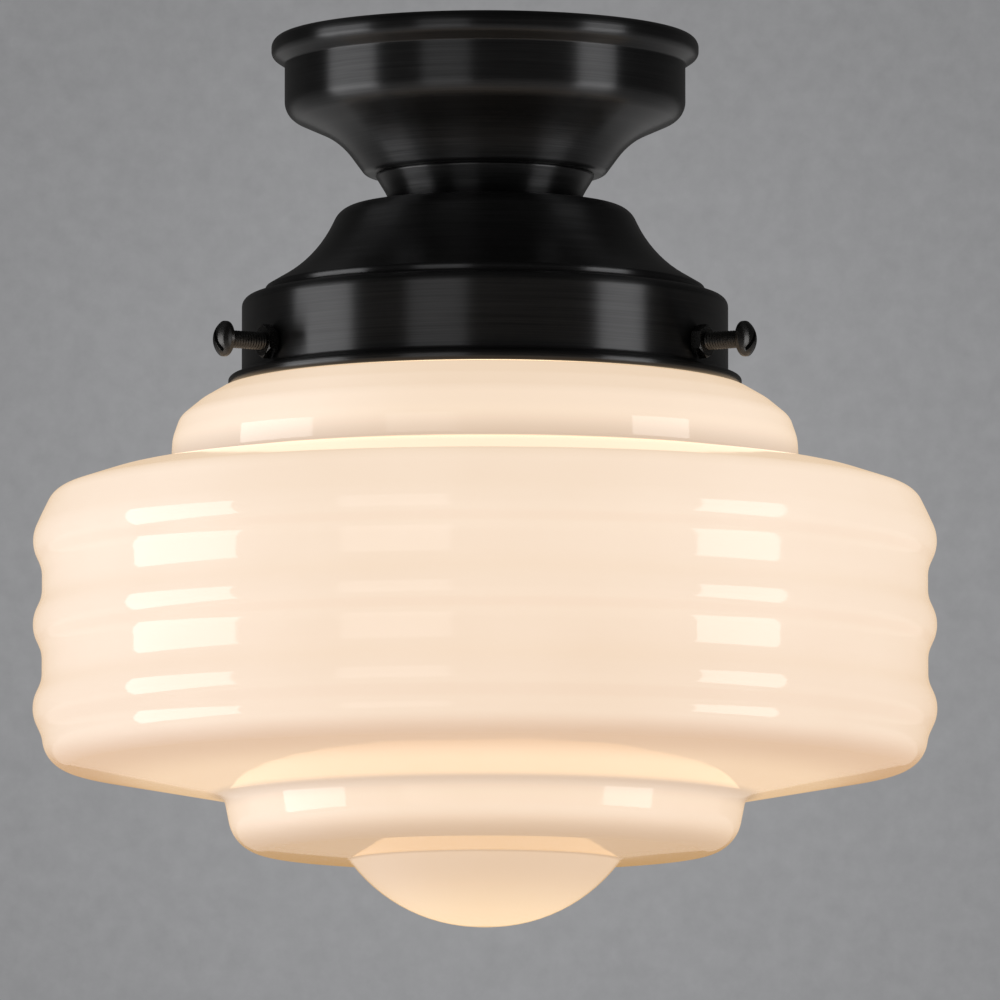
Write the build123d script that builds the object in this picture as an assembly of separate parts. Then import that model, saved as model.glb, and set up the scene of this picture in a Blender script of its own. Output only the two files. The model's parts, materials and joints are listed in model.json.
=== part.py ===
"""Semi flush ceiling light: spun steel canopy, collar and fitter, and an opal glass shade.

Millimetres, +Z up. The origin is the centre of the ceiling plane that the canopy's rim touches,
so everything hangs below z = 0. The front of the light faces -Y.
"""

from build123d import *
from math import asin, cos, sqrt, tan
import os

# ---- fits ----
thread_play = 0.05  # radial play of every thread and shaft in its hole
running_gap = 0.3  # gap between pieces that move past each other

# ---- canopy: the spun pan against the ceiling ----
canopy_wall = 1.0
canopy_rim_r = 72.4  # outside of the rolled rim bead
canopy_rim_land = 6.0  # width of the rim's flat and bend against the ceiling
canopy_rim_bend = 3.6
canopy_rim_height = 6.4  # of the bead's upright part with its bends
canopy_bead_bend = 2.9
canopy_bead_height = 9.4  # depth where the bead meets the side
canopy_side_r = 67.9
canopy_side_end = 26.5  # depth where the straight side ends
canopy_side_bend = 7.0
canopy_cove_r = 49.5  # corner where the underside turns down in its cove
canopy_cove_depth = 34.7
canopy_cove_bend = 27.0
canopy_lip_r = 40.6
canopy_lip_depth = 46.8
canopy_lip_bend = 3.0

# ---- collar between canopy and fitter ----
collar_top_r = 37.4
collar_low_r = 31.2
collar_wall = 2.0
collar_height = 11.1
collar_waist_bend = 25.0

# ---- fitter: the spun cup that holds the glass ----
fitter_wall = 1.2
fitter_side_r = 82.25
fitter_side_drop = 31.4  # below the fitter's top
fitter_bead_inset = 7.75  # from the side in to the bead
fitter_bead_drop = 27.6
fitter_bead_height = 2.3
fitter_cove_width = 17.4  # from the bead in to the cove's corner
fitter_cove_drop = 17.4
fitter_cove_bend = 42.0
fitter_top_inset = 8.3  # from the cove's corner in to the edge of the flat top
fitter_top_bend = 8.0
fitter_flange_width = 4.55  # from the side out to the flange's edge
fitter_flange_height = 4.3  # from the start of the flare to the lower edge
fitter_hem_height = 2.9  # rolled hem at the lower edge
fitter_hem_width = 2.4
fitter_height = 61.2
fitter_collar_length = 2.2  # tapped collar pulled in from the side around each screw

# ---- set screws and lock nuts ----
screw_azimuths = {"left": 210, "right": 330, "back": 90}
screw_r = 3.0
screw_pitch = 1.0
screw_thread_depth = 0.45
screw_drop = 50.4  # screw axes below the fitter's top
screw_tip_gap = 0.3  # tip to glass neck, backed off a touch
screw_reach = 17.5  # from the fitter's side to the underside of the head
screw_head_r = 6.0
screw_head_rim = 1.3
screw_head_dome = 2.9
screw_slot_width = 1.5
screw_slot_depth = 1.7
screw_slot_turns = {"left": 28, "right": -35, "back": 10}
nut_width = 10.0  # across flats
nut_height = 3.7

# ---- glass shade ----
glass_wall = 3.6
lip_clearance = 5.05  # from the fitter's inside to the glass's lip
lip_height = 4.4
lip_overhang = 3.0  # from the lip in to the neck
lip_above_screw = 3.4  # underside of the lip above the screws' axes
glass_gap = 0.4  # between the fitter's lower edge and the glass under it
tier_neck_rise = 1.6  # the tier rises this much inside the fitter, to meet the neck
tier_top_r = 88.4
tier_top_drop = 0.3
tier_slope_width = 7.9  # from the flat top out to the slope's foot, and so on down to the drum
tier_slope_drop = 4.9
tier_round_width = 6.9
tier_round_drop = 10.6
tier_side_width = 2.4
tier_side_drop = 17.5
tier_foot_width = 0.5
tier_height = 27.0
drum_shoulder_width = 18.0  # from the rounded corner in to where the top levels off
drum_shoulder_drop = 3.1
drum_shoulder_bend = 40.0
drum_shoulder_inset = 3.5  # the rounded corner lies this far inside the drum's side
drum_top_drop = 9.0
drum_r = 149.5
ring_count = 3
ring_pitch = 28.35
ring_rise = 4.2  # of the sharp ring, before its crest is rounded
ring_half_width = 9.2
ring_round = 12.0
first_ring_drop = 25.3  # first ring's crest below the tier
drum_height = 100.9
drum_foot_inset = 1.5
drum_foot_bend = 10.5
base_slope_drop = 10.8  # the drum's underside falls this much from edge to step
step_top_r = 88.0
step_low_r = 84.4
step_height = 18.2
step_bend = 13
dome_edge_r = 45.8
dome_edge_drop = 3.0
dome_sphere_r = 58.0

# ---- strap on the outlet box ----
strap_length = 108.0
strap_width = 22.0
strap_thickness = 2.0
strap_hole_spacing = 88.9
strap_slot_r = 2.4
strap_slot_length = 11.0
ground_screw_x = 24.0
ground_screw_y = 4.0
ground_screw_r = 2.0
ground_head_r = 4.2
ground_head_height = 2.2
ground_screw_length = 5.0

# ---- threaded tubes, hickey, nuts ----
tube_r = 5.15
tube_bore_r = 3.3
tube_nut_width = 14.3
strap_nut_height = 3.0
clamp_nut_height = 4.0
clamp_washer_r = 12.0
clamp_washer_height = 1.5
hickey_length = 25.0
hickey_width = 12.0
hickey_span = 25.0
hickey_leg = 4.0
hickey_top = 6.5
hickey_foot = 8.0
stem_below_nut = 9.3

# ---- lampholder ----
cap_wall = 1.0
cap_hub_r = 8.2
cap_hub_height = 5.5
cap_hub_gap = 1.8  # clamp nut to hub
cap_r = 19.0
cap_height = 21.4
body_top_space = 7.5  # room for the leads between cap and porcelain
body_floor = 5.0
body_length = 35.0
body_r = 17.7
body_low_r = 16.2
body_bore_r = 14.2
shell_wall = 0.35
shell_r = 13.45
wave_pitch = 3.63  # rolled thread of lampholder and bulb
wave_rise = 0.4
wave_count = 6
shell_flange_r = 9.0
shell_mouth = 0.9  # flared end past the last wave
shell_start = 6.0  # first wave below the porcelain's floor
contact_r = 6.0
contact_thickness = 0.5
contact_bump_r = 3.0
contact_bump = 0.7
terminal_x = 12.0
terminal_r = 1.6
terminal_head_r = 3.2
terminal_head_height = 1.8
terminal_depth = 3.5

# ---- bulb ----
bulb_r = 30.0
bulb_glass_wall = 0.9
bulb_cap_r = 12.6
bulb_cap_wall = 0.4
bulb_rim_r = 13.3
bulb_rim_height = 2.8
bulb_rim_straight = 1.0
bulb_tip_r = 4.6
bulb_tip_height = 0.9
bulb_collar_r = 11.1  # where cap and insulator meet
bulb_shoulder_rise = 0.8  # above the first wave of the thread
bulb_neck_r = 15.0
bulb_neck_length = 12.0
bulb_flare_length = 24.0
bulb_body_length = 47.5
bulb_stem_r = 2.0
bulb_stem_foot_height = 12.0
bulb_stem_length = 66.0
filament_count = 4
filament_orbit = 8.0
filament_r = 1.0
filament_arm_r = 0.5
filament_length = 34.0
filament_end_gap = 3.0

# ---- leads ----
lead_r = 1.1
lead_offset = 1.35  # each lead beside the tube's axis
lead_bend = 3.6
lead_window_depth = 5.0  # below the window's top
lead_window_reach = 14.0  # the supply leads turn this far from the axis, outside the window
lead_mouth_run = 7.0  # straight run in front of each connector
lead_mouth_bend = 7.0
ground_lead_turn = 22.0
ground_lead_bend = 6.0
connector_mouth_r = 5.4
connector_tip_r = 3.6
connector_length = 21.0
connector_bore_r = 3.2
connector_bore_depth = 8.0
connector_flutes = 10
connector_flute_r = 0.6

# ---- heights and radii worked out from the sizes above ----
seat_z = -canopy_lip_depth
fitter_z = seat_z - collar_height
fitter_edge_z = fitter_z - fitter_height
screw_z = fitter_z - screw_drop
bead_z = fitter_z - fitter_bead_drop
lip_low_z = screw_z + lip_above_screw
lip_top_z = lip_low_z + lip_height
tier_z = fitter_edge_z - glass_gap
drum_z = tier_z - tier_height
base_z = drum_z - drum_height
step_z = base_z - base_slope_drop - step_height
dome_edge_z = step_z - dome_edge_drop
strap_low_z = -strap_thickness
hickey_z = strap_low_z - strap_nut_height
window_top_z = hickey_z - hickey_top
hickey_low_z = hickey_z - hickey_length
window_low_z = hickey_low_z + hickey_foot
washer_z = fitter_z - fitter_wall
clamp_nut_z = washer_z - clamp_washer_height
stem_low_z = clamp_nut_z - clamp_nut_height - stem_below_nut
hub_z = clamp_nut_z - clamp_nut_height - cap_hub_gap
cap_z = hub_z - cap_hub_height
body_z = cap_z - cap_wall - body_top_space
floor_z = body_z - body_floor
body_low_z = body_z - body_length
contact_low_z = floor_z - contact_thickness - contact_bump
wave_z = floor_z - shell_start
bulb_tip_z = contact_low_z - running_gap
insulator_z = bulb_tip_z - bulb_tip_height
bulb_shoulder_z = wave_z + bulb_shoulder_rise
bulb_rim_z = wave_z - wave_count * wave_pitch - bulb_rim_height
bulb_stem_foot_r = bulb_rim_r - bulb_glass_wall - thread_play
tube_hole_r = tube_r + thread_play
fitter_inner_r = fitter_side_r - fitter_wall
fitter_bead_r = fitter_side_r - fitter_bead_inset
fitter_cove_r = fitter_bead_r - fitter_cove_width
fitter_top_r = fitter_cove_r - fitter_top_inset
fitter_flange_r = fitter_side_r + fitter_flange_width
lip_r = fitter_inner_r - lip_clearance
neck_r = lip_r - lip_overhang
tier_slope_r = tier_top_r + tier_slope_width
tier_round_r = tier_slope_r + tier_round_width
tier_side_r = tier_round_r + tier_side_width
tier_foot_r = tier_side_r + tier_foot_width
drum_corner_r = drum_r - drum_shoulder_inset


# ---- drawing helpers: outlines are lists of (radius, height, bend radius) corners ----
def spun(corners):
    """Solid turned from a closed outline of corners."""
    points = [(r, z) for r, z, _ in corners]
    bends = [bend for _, _, bend in corners]
    line = FilletPolyline(points, radius=bends, close=True)
    return revolve(Plane.XZ * make_face(line), Axis.Z)


def parallel(corners, gap):
    """The open line that runs beside a line of corners, gap to its right."""
    points = [Vector(r, z) for r, z, _ in corners]
    ways = [(b - a).normalized() for a, b in zip(points, points[1:])]
    sides = [Vector(way.Y, -way.X) for way in ways]
    beside = [(points[0] + sides[0] * gap, 0)]
    for corner, point, before, after in zip(corners[1:-1], points[1:-1], sides, sides[1:]):
        middle = before + after
        turn = before.cross(after).Z  # negative where the line turns right
        bend = corner[2] + (gap if turn > 0 else -gap)
        beside.append((point + middle * (2 * gap / middle.length**2), max(bend, 0)))
    beside.append((points[-1] + sides[-1] * gap, 0))
    return [(point.X, point.Y, bend) for point, bend in beside]


def spun_sheet(corners, wall):
    """Sheet of even thickness turned from the open line of its outside."""
    return spun(corners + parallel(corners, wall)[::-1])


def tube(outer_r, inner_r, top_z, low_z):
    return spun([(inner_r, top_z, 0), (outer_r, top_z, 0), (outer_r, low_z, 0), (inner_r, low_z, 0)])


def rod(radius, top_z, low_z):
    return spun([(0, top_z, 0), (radius, top_z, 0), (radius, low_z, 0), (0, low_z, 0)])


def cap_corner(sphere_r, edge_r):
    """Where the edge and crown tangents of a spherical cap meet: radius and drop from the crown."""
    half_angle = asin(edge_r / sphere_r) / 2
    return sphere_r * tan(half_angle), sphere_r * (1 - cos(2 * half_angle))


def hex_nut(width, height, bore_r, low_z):
    """Nut with its flats chamfered at both faces."""
    corner_r = width / sqrt(3)
    prism = extrude(RegularPolygon(width / 2, 6, major_radius=False), height)
    edge = corner_r - width / 2
    rounding = spun([
        (0, 0, 0), (width / 2, 0, 0), (corner_r, edge / 2, 0),
        (corner_r, height - edge / 2, 0), (width / 2, height, 0), (0, height, 0),
    ])
    return Pos(0, 0, low_z) * ((prism & rounding) - rod(bore_r, height, 0))


def radial(body, azimuth, height):
    """Lays a body drawn along +Z on the radius at an azimuth and height."""
    return Rot(0, 0, azimuth) * Pos(0, 0, height) * Rot(0, 90, 0) * body


def lead(points, bends):
    """Round insulated lead along straight runs and tangent arcs."""
    path = FilletPolyline(points, radius=bends)
    start = Plane(origin=path @ 0, z_dir=path % 0)
    return sweep(start * Circle(lead_r), path=path)


# ---- canopy, collar, fitter ----
def make_canopy():
    outside = [
        (canopy_rim_r - canopy_rim_land, 0, 0),
        (canopy_rim_r, 0, canopy_rim_bend),
        (canopy_rim_r, -canopy_rim_height, canopy_bead_bend),
        (canopy_side_r, -canopy_bead_height, 0.8),
        (canopy_side_r, -canopy_side_end, canopy_side_bend),
        (canopy_cove_r, -canopy_cove_depth, canopy_cove_bend),
        (canopy_lip_r, seat_z, canopy_lip_bend),
        (tube_hole_r, seat_z, 0),
    ]
    return spun_sheet(outside, canopy_wall)


def make_collar():
    top_z, low_z = seat_z, fitter_z
    waist_z = (top_z + low_z) / 2
    waist_r = (collar_top_r + collar_low_r) / 2 - 0.3
    return spun([
        (collar_top_r - collar_wall, top_z, 0), (collar_top_r, top_z, 0.6),
        (waist_r, waist_z, collar_waist_bend), (collar_low_r, low_z, 0.6),
        (collar_low_r - collar_wall, low_z, 0), (waist_r - collar_wall, waist_z, collar_waist_bend),
    ])


def make_fitter():
    flare_z = fitter_edge_z + fitter_flange_height
    outside = [
        (tube_hole_r, fitter_z, 0),
        (fitter_top_r, fitter_z, fitter_top_bend),
        (fitter_cove_r, fitter_z - fitter_cove_drop, fitter_cove_bend),
        (fitter_bead_r, bead_z, 1.2),
        (fitter_bead_r - 0.3, bead_z - fitter_bead_height, 0.8),
        (fitter_side_r, fitter_z - fitter_side_drop, 3.4),
        (fitter_side_r, flare_z, 1.2),
        (fitter_flange_r, fitter_edge_z + fitter_hem_height, 1.4),
        (fitter_flange_r, fitter_edge_z, 1.4),
        (fitter_flange_r - fitter_hem_width, fitter_edge_z, 0),
    ]
    fitter = spun_sheet(outside, fitter_wall)
    hole_r = screw_r + thread_play
    collar_inner_r = fitter_inner_r - fitter_collar_length
    for azimuth in screw_azimuths.values():
        pulled = rod(hole_r + fitter_wall, fitter_inner_r + fitter_wall / 2, collar_inner_r)
        fitter += radial(pulled, azimuth, screw_z)
    for azimuth in screw_azimuths.values():
        hole = rod(hole_r, fitter_flange_r, collar_inner_r - fitter_collar_length)
        fitter -= radial(hole, azimuth, screw_z)
    return fitter


# ---- set screws and lock nuts ----
def make_set_screw(slot_turn):
    """Screw along +Z, its height being the distance from the light's axis."""
    tip_z = neck_r + screw_tip_gap
    head_z = fitter_side_r + screw_reach
    rim_z = head_z + screw_head_rim
    top_z = rim_z + screw_head_dome
    sphere_r = (screw_head_r**2 + screw_head_dome**2) / (2 * screw_head_dome)
    corner_r, _ = cap_corner(sphere_r, screw_head_r)
    root_r = screw_r - screw_thread_depth
    turns = int((head_z - tip_z) / screw_pitch)
    thread_z = head_z - turns * screw_pitch
    outline = [(0, tip_z, 0), (root_r, tip_z, 0), (root_r, thread_z, 0)]
    for turn in range(turns):
        crest_z = thread_z + (turn + 0.5) * screw_pitch
        outline += [(screw_r, crest_z, 0), (root_r, crest_z + screw_pitch / 2, 0)]
    outline += [
        (screw_head_r, head_z, 0.3), (screw_head_r, rim_z, 0.3),
        (corner_r, top_z, sphere_r * 0.97), (0, top_z, 0),
    ]
    slot = Box(3 * screw_head_r, screw_slot_width, 2 * screw_slot_depth)
    return spun(outline) - Pos(0, 0, top_z) * Rot(0, 0, slot_turn) * slot


def make_lock_nut():
    return hex_nut(nut_width, nut_height, screw_r + thread_play, fitter_side_r + running_gap)


# ---- glass shade ----
def make_glass_shade():
    dome_corner_r, dome_drop = cap_corner(dome_sphere_r, dome_edge_r)
    dome_low_z = dome_edge_z - dome_drop
    lip = [
        (lip_r, lip_top_z, 1.2),
        (lip_r, lip_low_z + 0.6, 1.2),
        (neck_r, lip_low_z - 0.6, 1.2),
    ]
    outside = [
        (neck_r, lip_top_z, 0),
        (neck_r, tier_z + tier_neck_rise, 2.5),
        (tier_top_r, tier_z - tier_top_drop, 8),
        (tier_slope_r, tier_z - tier_slope_drop, 14),
        (tier_round_r, tier_z - tier_round_drop, 7),
        (tier_side_r, tier_z - tier_side_drop, 14),
        (tier_foot_r, drum_z, 1.5),
        (drum_corner_r - drum_shoulder_width, drum_z - drum_shoulder_drop, drum_shoulder_bend),
        (drum_corner_r, drum_z - drum_top_drop, 8),
    ]
    for ring in range(ring_count):
        crest_z = drum_z - first_ring_drop - ring * ring_pitch
        outside += [
            (drum_r, crest_z + ring_half_width, ring_round),
            (drum_r + ring_rise, crest_z, ring_round),
            (drum_r, crest_z - ring_half_width, ring_round),
        ]
    outside += [
        (drum_r - drum_foot_inset, base_z, drum_foot_bend),
        (step_top_r, base_z - base_slope_drop, 4),
        (step_low_r, step_z, step_bend),
        (dome_edge_r, dome_edge_z, 2),
        (dome_corner_r, dome_low_z, dome_sphere_r * 0.95),
        (0, dome_low_z, 0),
    ]
    inside = parallel(outside, glass_wall)[::-1]
    return spun(lip + outside[1:] + inside)


# ---- hanging hardware ----
def make_crossbar():
    strap = extrude(RectangleRounded(strap_length, strap_width, strap_width / 3), -strap_thickness)
    strap -= rod(tube_hole_r, strap_thickness, -2 * strap_thickness)
    for side in (-1, 1):
        slot = extrude(SlotOverall(strap_slot_length, 2 * strap_slot_r), 4 * strap_thickness, both=True)
        strap -= Pos(side * strap_hole_spacing / 2, 0, 0) * slot
    hole = rod(ground_screw_r + thread_play, strap_thickness, -2 * strap_thickness)
    return strap - Pos(ground_screw_x, ground_screw_y, 0) * hole


def make_ground_screw():
    head_z = strap_low_z - 2 * lead_r
    screw = rod(ground_screw_r, head_z + ground_screw_length - 1, head_z)
    screw += spun([
        (0, head_z, 0), (ground_head_r, head_z, 0),
        (ground_head_r - 0.6, head_z - ground_head_height, 0), (0, head_z - ground_head_height, 0),
    ])
    slot = Pos(0, 0, head_z - ground_head_height) * Box(3 * ground_head_r, 1, 2)
    return Pos(ground_screw_x, ground_screw_y, 0) * (screw - slot)


def make_hickey():
    """Cast yoke with a tapped hole in its top and its foot, and a window for the leads."""
    outline = RectangleRounded(hickey_span, hickey_length, 4)
    window_height = window_top_z - window_low_z
    window_y = (window_top_z + window_low_z) / 2 - (hickey_z + hickey_low_z) / 2
    window = Pos(0, window_y) * RectangleRounded(hickey_span - 2 * hickey_leg, window_height, 2)
    yoke = extrude(Plane.YZ * (outline - window), hickey_width / 2, both=True)
    yoke = Pos(0, 0, (hickey_z + hickey_low_z) / 2) * yoke
    return yoke - rod(tube_hole_r, hickey_z + 1, hickey_low_z - 1)


# ---- lampholder ----
def make_lampholder_cap():
    rim_z = cap_z - cap_height
    outside = [
        (cap_hub_r - cap_wall, cap_z, 0),
        (cap_r, cap_z, 4),
        (cap_r, rim_z, 1.2),
        (body_low_r + thread_play, rim_z, 0),
    ]
    return spun_sheet(outside, cap_wall) + tube(cap_hub_r, tube_hole_r, hub_z, cap_z - cap_wall)


def make_lampholder_body():
    ledge_z = cap_z - cap_height + cap_wall
    body = spun([
        (0, body_z, 0), (body_r, body_z, 1.5), (body_r, ledge_z, 0), (body_low_r, ledge_z, 0),
        (body_low_r, body_low_z, 1), (body_bore_r, body_low_z, 0.5),
        (body_bore_r, floor_z, 0), (0, floor_z, 0),
    ])
    for side in (-1, 1):
        hole = rod(terminal_r + thread_play, body_z + 1, body_z - terminal_depth)
        body -= Pos(side * terminal_x, 0, 0) * hole
    return body


def rolled_thread(mean_r):
    """Corners of a rolled lamp thread, from its top wave down."""
    corners = []
    for half_turn in range(2 * wave_count + 1):
        side = 1 if half_turn % 2 else -1
        corners.append((mean_r + side * wave_rise, wave_z - half_turn * wave_pitch / 2, 0.8))
    return corners


def make_screw_shell():
    outside = [(shell_flange_r, floor_z, 0), (shell_r, floor_z, 0.6)]
    mouth_z = wave_z - wave_count * wave_pitch - shell_mouth
    return spun_sheet(outside + rolled_thread(shell_r) + [(shell_r + wave_rise, mouth_z, 0)], shell_wall)


def make_centre_contact():
    return spun([
        (0, floor_z, 0), (contact_r, floor_z, 0), (contact_r, floor_z - contact_thickness, 0),
        (contact_bump_r, floor_z - contact_thickness, 0.5), (contact_bump_r / 2, contact_low_z, 0.5),
        (0, contact_low_z, 0),
    ])


def make_terminal_screw(side):
    head_z = body_z + 2 * lead_r
    screw = rod(terminal_r, head_z, body_z - terminal_depth)
    screw += rod(terminal_head_r, head_z + terminal_head_height, head_z)
    slot = Pos(0, 0, head_z + terminal_head_height) * Box(3 * terminal_head_r, 0.8, 1.6)
    return Pos(side * terminal_x, 0, 0) * (screw - slot)


# ---- bulb ----
def make_bulb_cap():
    outside = [(bulb_collar_r, bulb_shoulder_z, 0)] + rolled_thread(bulb_cap_r)
    outside += [(bulb_rim_r, bulb_rim_z + bulb_rim_straight, 0.5), (bulb_rim_r, bulb_rim_z, 0)]
    return spun_sheet(outside, bulb_cap_wall)


def make_bulb_insulator():
    return spun([
        (0, insulator_z, 0), (bulb_tip_r, insulator_z, 0.5),
        (bulb_collar_r, bulb_shoulder_z, 0), (0, bulb_shoulder_z, 0),
    ])


def make_bulb_envelope():
    flare_z = bulb_rim_z - bulb_neck_length
    body_top_z = flare_z - bulb_flare_length
    outside = [
        (bulb_rim_r, bulb_rim_z, 0),
        (bulb_rim_r, bulb_rim_z - bulb_rim_straight, 4),
        (bulb_neck_r, flare_z, 30),
        (bulb_r, body_top_z, 30),
        (bulb_r, body_top_z - bulb_body_length, bulb_r - 0.1),
        (0, body_top_z - bulb_body_length, 0),
    ]
    return spun_sheet(outside, bulb_glass_wall)


def make_bulb_stem():
    foot_z, end_z = bulb_rim_z, bulb_rim_z - bulb_stem_length
    return spun([
        (0, foot_z, 0), (bulb_stem_foot_r, foot_z, 0), (bulb_stem_foot_r, foot_z - 1, 0.4),
        (bulb_stem_r, foot_z - bulb_stem_foot_height, 4), (bulb_stem_r, end_z, 1), (0, end_z, 0),
    ])


def make_filaments():
    low_z = bulb_rim_z - bulb_stem_length + filament_end_gap
    top_z = low_z + filament_length
    filament = Pos(filament_orbit, 0, 0) * rod(filament_r, top_z, low_z)
    for arm_z in (low_z + filament_arm_r, top_z - filament_arm_r):
        arm = rod(filament_arm_r, filament_orbit, bulb_stem_r + thread_play)
        filament += radial(arm, 0, arm_z)
    return [Rot(0, 0, turn * 360 / filament_count) * filament for turn in range(filament_count)]


# ---- leads and their twist-on connectors ----
live_mouth = Vector(27, -9, -19.5)
neutral_mouth = Vector(-27, 9, -19.5)
ground_mouth = Vector(8, 29, -17)


def make_supply_lead(side, mouth):
    """Lead from a terminal, up the stem and out of the hickey's window to its connector."""
    low_z = body_z + lead_r
    window_z = window_top_z - lead_window_depth
    points = [
        (side * (terminal_x - terminal_r - thread_play), 0, low_z),
        (side * lead_offset, 0, low_z),
        (side * lead_offset, 0, window_z),
        (side * lead_window_reach, 0, window_z),
        (mouth.X - side * lead_mouth_run, mouth.Y, mouth.Z),
        (mouth.X + side * connector_bore_depth, mouth.Y, mouth.Z),
    ]
    return lead(points, [lead_bend, lead_bend, lead_mouth_bend, lead_mouth_bend])


def make_ground_lead():
    """Lead with an eye under the ground screw's head."""
    eye_z = strap_low_z - lead_r
    eye_r = ground_screw_r + 2 * lead_r
    eye = tube(eye_r, ground_screw_r + thread_play, strap_low_z, strap_low_z - 2 * lead_r)
    points = [
        (ground_screw_x, ground_screw_y + eye_r - lead_r / 2, eye_z),
        (ground_screw_x, ground_lead_turn, eye_z),
        (ground_mouth.X + lead_mouth_run, ground_mouth.Y, ground_mouth.Z),
        (ground_mouth.X - connector_bore_depth, ground_mouth.Y, ground_mouth.Z),
    ]
    return Pos(ground_screw_x, ground_screw_y, 0) * eye + lead(points, [ground_lead_bend, ground_lead_bend])


def make_connector(mouth, way):
    """Fluted cap along the X direction given by way, its mouth towards the lead."""
    cap = spun([
        (0, 0, 0), (connector_mouth_r, 0, 0.5), (connector_mouth_r, 7, 4),
        (connector_tip_r, connector_length, 1), (0, connector_length, 0),
    ])
    flute = rod(connector_flute_r, connector_length + 1, 7)
    for turn in range(connector_flutes):
        cap -= Rot(0, 0, turn * 360 / connector_flutes) * Pos(connector_mouth_r - 0.6, 0, 0) * flute
    cap -= rod(connector_bore_r, connector_bore_depth, -1)
    return Pos(mouth) * Rot(0, 90 * way, 0) * cap


def write_parts():
    parts = {
        "canopy": make_canopy(),
        "neck_collar": make_collar(),
        "fitter": make_fitter(),
        "glass_shade": make_glass_shade(),
        "crossbar": make_crossbar(),
        "ground_screw": make_ground_screw(),
        "strap_nipple": tube(tube_r, tube_bore_r, 0, window_top_z),
        "strap_nut": hex_nut(tube_nut_width, strap_nut_height, tube_hole_r, hickey_z),
        "hickey": make_hickey(),
        "stem": tube(tube_r, tube_bore_r, window_low_z, stem_low_z),
        "clamp_washer": tube(clamp_washer_r, tube_hole_r, washer_z, clamp_nut_z),
        "clamp_nut": hex_nut(tube_nut_width, clamp_nut_height, tube_hole_r, clamp_nut_z - clamp_nut_height),
        "lampholder_cap": make_lampholder_cap(),
        "lampholder_body": make_lampholder_body(),
        "screw_shell": make_screw_shell(),
        "centre_contact": make_centre_contact(),
        "live_terminal_screw": make_terminal_screw(1),
        "neutral_terminal_screw": make_terminal_screw(-1),
        "live_lead": make_supply_lead(1, live_mouth),
        "neutral_lead": make_supply_lead(-1, neutral_mouth),
        "ground_lead": make_ground_lead(),
        "live_connector": make_connector(live_mouth, 1),
        "neutral_connector": make_connector(neutral_mouth, -1),
        "ground_connector": make_connector(ground_mouth, -1),
        "bulb_envelope": make_bulb_envelope(),
        "bulb_cap": make_bulb_cap(),
        "bulb_insulator": make_bulb_insulator(),
        "bulb_tip_contact": rod(bulb_tip_r, bulb_tip_z, insulator_z),
        "bulb_stem": make_bulb_stem(),
        "bulb_filaments": Compound(children=make_filaments()),
    }
    for side, azimuth in screw_azimuths.items():
        parts[f"set_screw_{side}"] = radial(make_set_screw(screw_slot_turns[side]), azimuth, screw_z)
        parts[f"lock_nut_{side}"] = radial(make_lock_nut(), azimuth, screw_z)
    os.makedirs("parts", exist_ok=True)
    for name, part in parts.items():
        part.label = name
        export_step(part, f"parts/{name}.step")


write_parts()
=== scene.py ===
import json
from math import asin, atan, atan2, ceil, cos, pi, radians, sin, tan

import bmesh
import bpy
from mathutils import Matrix, Vector


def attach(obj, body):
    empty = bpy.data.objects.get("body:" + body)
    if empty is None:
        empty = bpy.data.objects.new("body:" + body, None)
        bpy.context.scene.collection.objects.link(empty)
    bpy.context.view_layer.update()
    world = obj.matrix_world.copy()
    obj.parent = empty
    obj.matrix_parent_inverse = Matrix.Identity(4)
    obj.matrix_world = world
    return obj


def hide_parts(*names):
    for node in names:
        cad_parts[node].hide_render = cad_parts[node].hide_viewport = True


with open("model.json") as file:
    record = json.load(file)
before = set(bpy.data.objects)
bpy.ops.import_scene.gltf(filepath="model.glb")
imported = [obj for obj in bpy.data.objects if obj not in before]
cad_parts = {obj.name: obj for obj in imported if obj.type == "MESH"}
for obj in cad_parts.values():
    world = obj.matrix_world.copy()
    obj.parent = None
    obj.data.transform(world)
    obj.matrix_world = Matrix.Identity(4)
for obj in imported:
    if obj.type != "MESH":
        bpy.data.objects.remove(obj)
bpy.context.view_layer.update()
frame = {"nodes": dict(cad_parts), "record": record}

MM = 0.001
FINE = 256  # segments around the large turned pieces

# ---- sizes, in millimetres, the same as the CAD model's ----
canopy_wall, fitter_wall, glass_wall = 1.0, 1.2, 3.6
tube_hole_r = 5.2
seat_z = -46.8
fitter_z = -57.9
fitter_edge_z = -119.1
screw_z = -108.3
tier_z = -119.5
drum_z = -146.5
base_z = -247.4
base_slope_drop = 10.8
step_z = base_z - base_slope_drop - 18.2
dome_edge_z = step_z - 3.0
neck_r = 73.0
drum_r = 149.5
ring_pitch = 28.35
fitter_side_r = 82.25
flange_r = 86.8
screw_r = 3.0
screw_reach = 17.5
thread_depth, thread_pitch = 0.45, 1.0
head_r, head_rim, head_dome = 6.0, 1.3, 2.9
slot_width, slot_depth = 1.5, 1.7
screw_azimuths = {"left": 210, "right": 330, "back": 90}
slot_turns = {"left": 28, "right": -35, "back": 10}


# ---- outlines: lists of (radius, height, bend radius) corners ----
def left_of(way):
    return Vector((-way.y, way.x))


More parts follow.
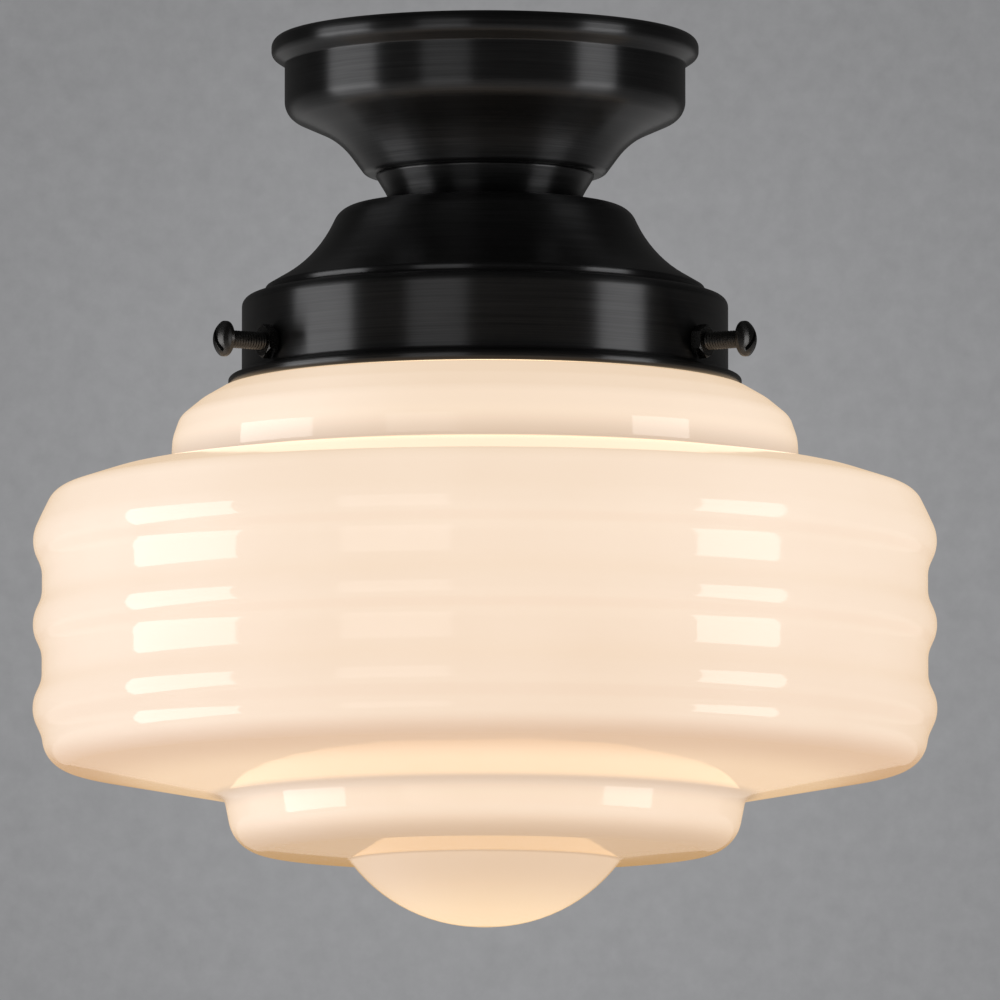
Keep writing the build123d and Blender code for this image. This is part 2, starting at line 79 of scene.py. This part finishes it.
def traced(corners, step=4.0):
    """Points of a closed outline with its bends drawn as arcs: (point, normal before, normal after)."""
    points = [Vector((r, z)) for r, z, _ in corners]
    area = sum(a.cross(b) for a, b in zip(points, points[1:] + points[:1]))
    out = -1 if area > 0 else 1
    line = []
    for i, (point, (_, _, bend)) in enumerate(zip(points, corners)):
        before = (point - points[i - 1]).normalized()
        after = (points[(i + 1) % len(points)] - point).normalized()
        turn = atan2(before.cross(after), before.dot(after))
        if bend <= 0 or abs(turn) < 1e-4:
            line.append((point, left_of(before) * out, left_of(after) * out))
            continue
        side = 1 if turn > 0 else -1
        start = point - before * bend * tan(abs(turn) / 2)
        centre = start + left_of(before) * bend * side
        steps = max(3, ceil(abs(turn) / radians(step)))
        for k in range(steps + 1):
            way = before.copy()
            way.rotate(Matrix.Rotation(turn * k / steps, 2))
            normal = left_of(way) * out
            line.append((centre - left_of(way) * bend * side, normal, normal))
    return line


def parallel(corners, gap):
    """The open line that runs beside a line of corners, gap to its right."""
    points = [Vector((r, z)) for r, z, _ in corners]
    ways = [(b - a).normalized() for a, b in zip(points, points[1:])]
    sides = [Vector((way.y, -way.x)) for way in ways]
    beside = [(points[0] + sides[0] * gap, 0)]
    for corner, point, before, after in zip(corners[1:-1], points[1:-1], sides, sides[1:]):
        middle = before + after
        turn = before.cross(after)
        bend = corner[2] + (gap if turn > 0 else -gap)
        beside.append((point + middle * (2 * gap / middle.length_squared), max(bend, 0)))
    beside.append((points[-1] + sides[-1] * gap, 0))
    return [(point.x, point.y, bend) for point, bend in beside]


def sheet(corners, wall):
    return corners + parallel(corners, wall)[::-1]


def cap_corner(sphere_r, edge_r):
    half_angle = asin(edge_r / sphere_r) / 2
    return sphere_r * tan(half_angle), sphere_r * (1 - cos(2 * half_angle))


# ---- meshes ----
def new_object(name, mesh):
    piece = bpy.data.objects.new(name, mesh)
    bpy.context.scene.collection.objects.link(piece)
    return piece


def turned(name, corners, segments=FINE):
    """Mesh turned about Z from a closed outline, with the outline's own normals."""
    line = traced(corners)
    verts, rows = [], []
    for point, _, _ in line:
        if point.x < 1e-6:
            rows.append([len(verts)] * segments)
            verts.append((0, 0, point.y * MM))
            continue
        rows.append(list(range(len(verts), len(verts) + segments)))
        for s in range(segments):
            angle = 2 * pi * s / segments
            verts.append((point.x * cos(angle) * MM, point.x * sin(angle) * MM, point.y * MM))
    faces, normals = [], []
    for k in range(len(line)):
        m = (k + 1) % len(line)
        if rows[k][0] == rows[k][1] and rows[m][0] == rows[m][1]:
            continue
        start, end = line[k][2], line[m][1]
        for s in range(segments):
            t = (s + 1) % segments
            quad = [
                (rows[k][s], s, start), (rows[m][s], s, end),
                (rows[m][t], s + 1, end), (rows[k][t], s + 1, start),
            ]
            kept = []
            for corner in quad:
                if corner[0] not in [c[0] for c in kept]:
                    kept.append(corner)
            faces.append([c[0] for c in kept])
            for _, around, normal in kept:
                angle = 2 * pi * around / segments
                normals.append((normal.x * cos(angle), normal.x * sin(angle), normal.y))
    mesh = bpy.data.meshes.new(name)
    mesh.from_pydata(verts, [], faces)
    first = mesh.polygons[len(mesh.polygons) // 2]
    wanted = Vector(normals[first.loop_start])
    if first.normal.dot(wanted) < 0:
        mesh.clear_geometry()
        flipped, spots = [], []
        at = 0
        for face in faces:
            spots += normals[at:at + len(face)][::-1]
            at += len(face)
            flipped.append(face[::-1])
        mesh.from_pydata(verts, [], flipped)
        normals = spots
    mesh.polygons.foreach_set("use_smooth", [True] * len(mesh.polygons))
    mesh.normals_split_custom_set(normals)
    mesh.update()
    return new_object(name, mesh)


def radial(azimuth, height):
    """Places a piece drawn along +Z on the radius at an azimuth and height."""
    return (
        Matrix.Rotation(radians(azimuth), 4, "Z")
        @ Matrix.Translation((0, 0, height * MM))
        @ Matrix.Rotation(radians(90), 4, "Y")
    )


def thread(name, root_r, crest_r, low_z, top_z, pitch, segments=48):
    """Cylinder with a real helical thread, closed at both ends."""
    profile = [(0.0, root_r), (0.16, root_r), (0.46, crest_r), (0.60, crest_r), (0.90, root_r)]
    turns = ceil((top_z - low_z) / pitch) + 2
    bm = bmesh.new()
    columns = []
    for s in range(segments + 1):
        angle = 2 * pi * s / segments
        column = []
        for turn in range(-1, turns):
            for part, radius in profile:
                z = low_z + (turn + part + s / segments) * pitch
                if z <= low_z or z >= top_z:
                    radius = root_r
                z = min(max(z, low_z), top_z)
                column.append(bm.verts.new((radius * cos(angle) * MM, radius * sin(angle) * MM, z * MM)))
        columns.append(column)
    for left, right in zip(columns, columns[1:]):
        for a, b, c, d in zip(left, right, right[1:], left[1:]):
            bm.faces.new((a, b, c, d))
    bmesh.ops.remove_doubles(bm, verts=bm.verts, dist=1e-7)
    bmesh.ops.dissolve_degenerate(bm, edges=bm.edges, dist=1e-7)
    for z in (low_z, top_z):
        ring = [e for e in bm.edges if e.is_boundary and all(abs(v.co.z - z * MM) < 1e-7 for v in e.verts)]
        bmesh.ops.edgeloop_fill(bm, edges=ring)
    bmesh.ops.recalc_face_normals(bm, faces=bm.faces)
    mesh = bpy.data.meshes.new(name)
    bm.to_mesh(mesh)
    bm.free()
    mesh.polygons.foreach_set("use_smooth", [True] * len(mesh.polygons))
    mesh.set_sharp_from_angle(angle=radians(38))
    return new_object(name, mesh)


def cut(piece, size, place):
    """Cuts a box out of a piece."""
    bm = bmesh.new()
    bmesh.ops.create_cube(bm, size=1, matrix=place @ Matrix.Diagonal((*size, 1)))
    mesh = bpy.data.meshes.new("cutter")
    bm.to_mesh(mesh)
    bm.free()
    cutter = new_object("cutter", mesh)
    modifier = piece.modifiers.new("slot", "BOOLEAN")
    modifier.operation, modifier.solver, modifier.object = "DIFFERENCE", "EXACT", cutter
    shaved = bpy.data.meshes.new_from_object(piece.evaluated_get(bpy.context.evaluated_depsgraph_get()))
    piece.modifiers.clear()
    piece.data = shaved
    bpy.data.objects.remove(cutter)


def softened(piece, width):
    """Rounds a piece's sharp edges."""
    modifier = piece.modifiers.new("edges", "BEVEL")
    modifier.width, modifier.segments = width * MM, 2
    modifier.limit_method, modifier.angle_limit = "ANGLE", radians(30)
    modifier.harden_normals = False
    rounded = bpy.data.meshes.new_from_object(piece.evaluated_get(bpy.context.evaluated_depsgraph_get()))
    piece.modifiers.clear()
    piece.data = rounded
    rounded.polygons.foreach_set("use_smooth", [True] * len(rounded.polygons))
    rounded.set_sharp_from_angle(angle=radians(35))


def joined(name, pieces):
    """One object from several."""
    bm = bmesh.new()
    for piece in pieces:
        bm.from_mesh(piece.data)
    mesh = bpy.data.meshes.new(name)
    bm.to_mesh(mesh)
    bm.free()
    for piece in pieces:
        bpy.data.objects.remove(piece)
    mesh.set_sharp_from_angle(angle=radians(35))
    return new_object(name, mesh)


# ---- materials ----
class Shader:
    """A Principled material with a few short ways to build its nodes."""

    def __init__(self, name, **inputs):
        self.material = bpy.data.materials.new(name)
        self.material.use_nodes = True
        self.tree = self.material.node_tree
        self.shader = self.tree.nodes["Principled BSDF"]
        for key, value in inputs.items():
            self.shader.inputs[key.replace("_", " ")].default_value = value
        self.place = self.tree.nodes.new("ShaderNodeTexCoord").outputs["Object"]

    def node(self, kind, *links, **settings):
        made = self.tree.nodes.new("ShaderNode" + kind)
        for key, value in settings.items():
            setattr(made, key, value)
        for index, value in enumerate(links):
            if value is None:
                continue
            if isinstance(value, bpy.types.NodeSocket):
                self.tree.links.new(value, made.inputs[index])
            else:
                made.inputs[index].default_value = value
        return made

    def math(self, operation, *values):
        return self.node("Math", *values, operation=operation).outputs[0]

    def noise(self, scale, detail=3.0, rough=0.55, vector=None):
        made = self.node("TexNoise")
        self.tree.links.new(vector or self.place, made.inputs["Vector"])
        made.inputs["Scale"].default_value = scale
        made.inputs["Detail"].default_value = detail
        made.inputs["Roughness"].default_value = rough
        return made.outputs[0]

    def spread(self, value, low, high, low_in=0.0, high_in=1.0, smooth=False):
        """Maps a value from one range to another, held at the ends."""
        made = self.node("MapRange", value, low_in, high_in, low, high)
        if smooth:
            made.interpolation_type = "SMOOTHSTEP"
        return made.outputs[0]

    def mixed(self, share, first, second):
        made = self.node("Mix", data_type="RGBA")
        for socket, value in zip((made.inputs[0], made.inputs[6], made.inputs[7]), (share, first, second)):
            if isinstance(value, bpy.types.NodeSocket):
                self.tree.links.new(value, socket)
            else:
                socket.default_value = value
        return made.outputs[2]

    def parts(self, vector=None):
        made = self.node("SeparateXYZ", vector or self.place)
        return made.outputs[0], made.outputs[1], made.outputs[2]

    def length(self, x, y):
        return self.math("SQRT", self.math("ADD", self.math("MULTIPLY", x, x), self.math("MULTIPLY", y, y)))

    def profile(self, turn_share):
        """Radius and height about Z as a vector, with a little of the angle."""
        x, y, z = self.parts()
        radius = self.length(x, y)
        angle = self.math("MULTIPLY", self.math("ARCTAN2", y, x), turn_share)
        return self.node("CombineXYZ", radius, z, angle).outputs[0]

    def bump(self, height, distance, strength=1.0):
        made = self.node("Bump")
        made.inputs["Strength"].default_value = strength
        made.inputs["Distance"].default_value = distance
        self.tree.links.new(height, made.inputs["Height"])
        return made.outputs[0]

    def into(self, name, socket):
        self.tree.links.new(socket, self.shader.inputs[name])


def spun_black(name, roughness=(0.28, 0.35), line_depth=0.000008, base=(0.048, 0.048, 0.049)):
    """Satin near-black finish over spun metal, with fine turning lines."""
    made = Shader(name, Metallic=0.97, IOR=1.5, Anisotropic=0.94, Anisotropic_Rotation=0.25)
    around = made.node("Tangent", direction_type="RADIAL", axis="Z").outputs[0]
    made.into("Tangent", around)
    fine = made.noise(2600, 2, vector=made.profile(0.0009))
    coarse = made.noise(620, 2, vector=made.profile(0.0006))
    patches = made.noise(38, 3)
    lines = made.math("ADD", made.math("MULTIPLY", fine, 0.6), made.math("MULTIPLY", coarse, 0.4))
    shade = made.math("ADD", made.math("MULTIPLY", lines, 0.75), made.math("MULTIPLY", patches, 0.25))
    dark, light = [(*[c * f for c in base], 1) for f in (0.72, 1.35)]
    made.into("Base Color", made.mixed(made.spread(shade, 0, 1, 0.3, 0.7), dark, light))
    made.into("Roughness", made.spread(shade, roughness[0], roughness[1], 0.3, 0.7))
    made.into("Normal", made.bump(lines, line_depth))
    return made.material


def plain_metal(name, colour, roughness, metallic=1.0, grain=260, depth=0.00002, lines=False):
    """Metal or glazed finish with mottled tone, uneven gloss and a fine skin."""
    made = Shader(name, Metallic=metallic)
    grains = made.noise(grain * 4, 3, vector=made.profile(0.001) if lines else None)
    clouds = made.noise(grain / 3, 3)
    share = made.math("ADD", made.math("MULTIPLY", grains, 0.5), made.math("MULTIPLY", clouds, 0.5))
    dark, light = [(*[min(c * f, 1) for c in colour], 1) for f in (0.82, 1.12)]
    made.into("Base Color", made.mixed(made.spread(share, 0, 1, 0.35, 0.65), dark, light))
    made.into("Roughness", made.spread(share, roughness * 0.8, min(roughness * 1.25, 1), 0.35, 0.65))
    made.into("Normal", made.bump(grains, depth))
    return made.material


def opal(name):
    """Glossy opal glass with a painted glow that stands in for the lamp inside: the glow is darker and
    warmer low down, with painted shade under the drum, under the step and in the creases, and a brighter
    painted glow on the dome.
    """
    made = Shader(name, IOR=1.42, Emission_Strength=1.0)
    facing = made.tree.nodes.new("ShaderNodeNewGeometry").outputs["Normal"]
    _, _, up = made.parts(facing)
    x, y, height = made.parts()
    radius = made.length(x, y)
    swirl = made.noise(16, 4, 0.5)
    stretched = made.node("Mapping", made.place, None, None, (0.6, 0.6, 3.2)).outputs[0]
    streaks = made.noise(9, 3, 0.5, vector=stretched)
    cloud = made.math("ADD", made.math("MULTIPLY", swirl, 0.5), made.math("MULTIPLY", streaks, 0.5))
    cloud = made.spread(cloud, 0, 1, 0.36, 0.64)
    pale = made.mixed(cloud, (0.365, 0.400, 0.455, 1), (0.390, 0.430, 0.490, 1))
    made.into("Base Color", pale)
    glow = made.mixed(cloud, (0.715, 0.515, 0.322, 1), (0.745, 0.545, 0.352, 1))
    # Painted glow: darker and warmer towards the bottom of the drum.
    low = made.spread(height, 1, 0, -0.244, -0.150, smooth=True)
    glow = made.mixed(made.math("MULTIPLY", low, 0.5), glow, (0.655, 0.425, 0.222, 1))
    # Painted shade on faces turned down, darker towards the drum's outer edge.
    outward = made.spread(radius, 0, 1, 0.108, 0.138, smooth=True)
    painted_under_shade = made.mixed(outward, (0.700, 0.450, 0.225, 1), (0.560, 0.320, 0.135, 1))
    down = made.spread(up, 1, 0, -0.95, -0.25, smooth=True)
    lit = made.mixed(down, glow, painted_under_shade)
    # Painted shade, deeper still, on the underside of the step.
    step = made.spread(height, 1, 0, -0.274, -0.264, smooth=True)
    lit = made.mixed(made.math("MULTIPLY", step, down), lit, (0.470, 0.255, 0.075, 1))
    # Painted light: a brighter glow on the dome.
    dome = made.spread(height, 1, 0, -0.303, -0.280, smooth=True)
    lit = made.mixed(dome, lit, (0.830, 0.545, 0.260, 1))
    # Painted shade along the crease under the upper tier and the crease above the step.
    for crease, reach in (((0.1075, -0.1468, 0.0), 0.010), ((0.0880, -0.2570, 0.0), 0.007)):
        across = made.node("CombineXYZ", radius, height, 0.0).outputs[0]
        away = made.node("VectorMath", across, crease, operation="DISTANCE").outputs["Value"]
        near = made.spread(away, 0.8, 0, 0.0, reach, smooth=True)
        lit = made.mixed(near, lit, (0.430, 0.270, 0.140, 1))
    made.into("Emission Color", lit)
    made.into("Roughness", made.spread(swirl, 0.035, 0.075, 0.35, 0.65))
    made.into("Normal", made.bump(made.noise(24, 2), 0.0004, 0.35))
    return made.material


materials = {
    "black_metal": spun_black("spun_black"),
    "black_hardware": spun_black("black_hardware", (0.22, 0.32), 0.000006, (0.055, 0.054, 0.053)),
    "opal_glass": opal("opal_glass"),
    "zinc_steel": plain_metal("zinc_steel", (0.62, 0.62, 0.60), 0.32),
    "threaded_steel": plain_metal("threaded_steel", (0.55, 0.54, 0.50), 0.35),
    "green_screw": plain_metal("green_screw", (0.05, 0.32, 0.10), 0.35, 0.6),
    "cast_iron": plain_metal("cast_iron", (0.17, 0.17, 0.17), 0.55, 0.9, 420, 0.00012),
    "brass_cap": plain_metal("brass_cap", (0.72, 0.55, 0.25), 0.3, lines=True),
    "porcelain": plain_metal("porcelain", (0.84, 0.83, 0.79), 0.12, 0.0, 90, 0.00003),
    "shell_brass": plain_metal("shell_brass", (0.78, 0.60, 0.28), 0.25),
    "brass_screw": plain_metal("brass_screw", (0.75, 0.58, 0.25), 0.25),
    "nickel_screw": plain_metal("nickel_screw", (0.70, 0.70, 0.68), 0.22),
    "black_lead": plain_metal("black_lead", (0.02, 0.02, 0.02), 0.45, 0.0),
    "white_lead": plain_metal("white_lead", (0.80, 0.80, 0.77), 0.45, 0.0),
    "green_lead": plain_metal("green_lead", (0.05, 0.33, 0.12), 0.45, 0.0),
    "orange_cap": plain_metal("orange_cap", (0.82, 0.28, 0.04), 0.4, 0.0),
    "bulb_glass": plain_metal("bulb_glass", (0.86, 0.84, 0.79), 0.3, 0.0, 80),
    "bulb_metal": plain_metal("bulb_metal", (0.75, 0.75, 0.74), 0.25),
    "bulb_insulator": plain_metal("bulb_insulator", (0.03, 0.03, 0.05), 0.12, 0.0),
    "solder": plain_metal("solder", (0.60, 0.60, 0.58), 0.4),
    "stem_glass": plain_metal("stem_glass", (0.85, 0.87, 0.86), 0.1, 0.0),
    "filament": plain_metal("filament", (0.90, 0.70, 0.22), 0.5, 0.0),
}


def finish_piece(piece, body, slot, *nodes):
    piece.data.materials.clear()
    piece.data.materials.append(materials[slot])
    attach(piece, body)
    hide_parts(*nodes)


# ---- carried-over CAD nodes take the material of their slot ----
for part in frame["record"]["subparts"]:
    node = frame["nodes"][part["node"]]
    node.data.materials.clear()
    node.data.materials.append(materials[part["material_slot"]])

# ---- canopy ----
canopy = [
    (66.4, 0, 0), (72.4, 0, 3.6), (72.4, -6.4, 2.9), (67.9, -9.4, 0.8), (67.9, -26.5, 7),
    (49.5, -34.7, 27), (40.6, seat_z, 3), (tube_hole_r, seat_z, 0),
]
finish_piece(turned("canopy_shell", sheet(canopy, canopy_wall)), "fixture", "black_metal", "canopy")

# ---- collar ----
waist_z, waist_r = (seat_z + fitter_z) / 2, 34.0
collar = [
    (35.4, seat_z, 0), (37.4, seat_z, 0.6), (waist_r, waist_z, 25),
    (31.2, fitter_z, 0.6), (29.2, fitter_z, 0), (waist_r - 2, waist_z, 25),
]
finish_piece(turned("neck_ring", collar), "fixture", "black_metal", "neck_collar")

# ---- fitter ----
bead_z = fitter_z - 27.6
fitter = [
    (tube_hole_r, fitter_z, 0), (48.8, fitter_z, 8), (57.1, fitter_z - 17.4, 42),
    (74.5, bead_z, 1.2), (74.2, bead_z - 2.3, 0.8),
    (fitter_side_r, fitter_z - 31.4, 3.4), (fitter_side_r, fitter_edge_z + 4.3, 1.2),
    (flange_r, fitter_edge_z + 2.9, 1.4), (flange_r, fitter_edge_z, 1.4), (flange_r - 2.4, fitter_edge_z, 0),
]
finish_piece(turned("fitter_shell", sheet(fitter, fitter_wall)), "fixture", "black_metal", "fitter")

# ---- glass shade ----
dome_corner_r, dome_drop = cap_corner(58.0, 45.8)
dome_low_z = dome_edge_z - dome_drop
lip_low_z = screw_z + 3.4
lip = [(76.0, lip_low_z + 4.4, 1.2), (76.0, lip_low_z + 0.6, 1.2), (neck_r, lip_low_z - 0.6, 1.2)]
glass = [
    (neck_r, lip_low_z + 4.4, 0), (neck_r, tier_z + 1.6, 2.5),
    (88.4, tier_z - 0.3, 8), (96.3, tier_z - 4.9, 14), (103.2, tier_z - 10.6, 7),
    (105.6, tier_z - 17.5, 14), (106.1, drum_z, 1.5),
    (128.0, drum_z - 3.1, 40), (146.0, drum_z - 9.0, 8),
]
for ring in range(3):
    crest_z = drum_z - 25.3 - ring * ring_pitch
    glass += [(drum_r, crest_z + 9.2, 12), (drum_r + 4.2, crest_z, 12), (drum_r, crest_z - 9.2, 12)]
glass += [
    (148.0, base_z, 10.5), (88.0, base_z - base_slope_drop, 4), (84.4, step_z, 13),
    (45.8, dome_edge_z, 2), (dome_corner_r, dome_low_z, 55.1), (0, dome_low_z, 0),
]
bowl = turned("glass_bowl", lip + glass[1:] + parallel(glass, glass_wall)[::-1])
finish_piece(bowl, "shade", "opal_glass", "glass_shade")

# ---- set screws and lock nuts ----
tip_z, head_z = neck_r + 0.3, fitter_side_r + screw_reach
rim_z = head_z + head_rim
top_z = rim_z + head_dome
sphere_r = (head_r**2 + head_dome**2) / (2 * head_dome)
slot_size = (0.040, slot_width * MM, 2 * slot_depth * MM)
corner_r, _ = cap_corner(sphere_r, head_r)
for side, azimuth in screw_azimuths.items():
    place = radial(azimuth, screw_z)
    head = turned(f"head_{side}", [
        (0, head_z, 0), (head_r, head_z, 0.3), (head_r, rim_z, 0.3),
        (corner_r, top_z, sphere_r * 0.97), (0, top_z, 0),
    ], 64)
    slot_turn = Matrix.Rotation(radians(slot_turns[side]), 4, "Z")
    cut(head, slot_size, Matrix.Translation((0, 0, top_z * MM)) @ slot_turn)
    softened(head, 0.14)
    shank = thread(f"shank_{side}", screw_r - thread_depth, screw_r, tip_z, head_z, thread_pitch)
    screw = joined(f"screw_{side}", [head, shank])
    screw.data.transform(place)
    finish_piece(screw, f"screw_{side}", "black_hardware", f"set_screw_{side}")

# ---- floor, backdrop and lights ----
scene = bpy.context.scene
scene.view_settings.view_transform = "Standard"

floor_mesh = bpy.data.meshes.new("floor")
floor_mesh.from_pydata([(-6, -6, -0.9), (6, -6, -0.9), (6, 6, -0.9), (-6, 6, -0.9)], [], [(0, 1, 2, 3)])
floor = new_object("floor", floor_mesh)
pale = Shader("floor_paint", Roughness=0.9)
pale.into("Base Color", pale.mixed(pale.noise(5, 4), (0.66, 0.66, 0.66, 1), (0.70, 0.70, 0.70, 1)))
floor_mesh.materials.append(pale.material)

world = bpy.data.worlds.new("studio")
scene.world = world
world.use_nodes = True
tree = world.node_tree
tree.nodes.clear()


def world_node(kind, *links, **settings):
    made = tree.nodes.new("ShaderNode" + kind)
    for key, value in settings.items():
        setattr(made, key, value)
    for index, value in enumerate(links):
        if isinstance(value, bpy.types.NodeSocket):
            tree.links.new(value, made.inputs[index])
        elif value is not None:
            made.inputs[index].default_value = value
    return made


way = world_node("TexCoord").outputs["Generated"]
rise = world_node("SeparateXYZ", way).outputs[2]
mottle = world_node("TexNoise", way)
mottle.inputs["Scale"].default_value = 640
mottle.inputs["Detail"].default_value = 6
mottle.inputs["Roughness"].default_value = 0.62
share = world_node("MapRange", rise, 0.066, 0.139, 0.310, 0.300).outputs[0]
aside = world_node("VectorMath", way, (0.0, 0.9953, 0.0968), operation="DISTANCE").outputs["Value"]
falloff = world_node("MapRange", aside, 0.0, 0.050, 0.035, -0.050).outputs[0]
share = world_node("Math", share, falloff, operation="ADD").outputs[0]
tone = world_node("MapRange", mottle.outputs[0], 0.3, 0.7, -0.014, 0.014).outputs[0]
grey = world_node("Math", share, tone, operation="ADD").outputs[0]
green, blue = (world_node("Math", grey, f, operation="MULTIPLY").outputs[0] for f in (1.004, 1.03))
cool = world_node("CombineColor", grey, green, blue).outputs[0]
seen = world_node("Background", cool, 1.0)
mirrored = world_node("Background", (1.0, 0.99, 0.98, 1), 0.045)
fill = world_node("Background", (1.0, 0.99, 0.98, 1), 0.40)
path = world_node("LightPath")
direct = world_node(
    "Math", path.outputs["Is Camera Ray"], path.outputs["Is Transmission Ray"], operation="MAXIMUM"
).outputs[0]
blend = world_node("MixShader", path.outputs["Is Glossy Ray"], fill.outputs[0], mirrored.outputs[0])
blend = world_node("MixShader", direct, blend.outputs[0], seen.outputs[0])
tree.links.new(blend.outputs[0], world_node("OutputWorld").inputs[0])

centre = Vector((0, 0, -0.17))
box_distance, box_height, box_lift = 1.6, 0.92, -0.09


def softbox(name, azimuth, width, power):
    """Rectangular lamp at an azimuth from the front, towards the right, turned to the light's middle."""
    lamp = bpy.data.lights.new(name, "AREA")
    lamp.shape, lamp.size, lamp.size_y = "RECTANGLE", width, box_height
    lamp.energy = power
    holder = bpy.data.objects.new(name, lamp)
    angle = radians(azimuth)
    holder.location = centre + Vector((sin(angle) * box_distance, -cos(angle) * box_distance, box_lift))
    holder.rotation_euler = (centre - holder.location).to_track_quat("-Z", "Y").to_euler()
    scene.collection.objects.link(holder)


softbox("left_box", -82, 1.01, 10.8)
softbox("right_box", 66.5, 0.71, 7.3)
softbox("front_box", -22, 0.78, 2.5)

# ---- camera ----
camera = bpy.data.objects.new("camera", bpy.data.cameras.new("camera"))
camera.data.lens, camera.data.sensor_width = 504, 36
camera.data.clip_end = 100
camera.location = (0.00507, -4.7042, -0.64335)
camera.rotation_euler = (radians(90) + atan(0.1033), 0, 0)
scene.collection.objects.link(camera)
scene.camera = camera
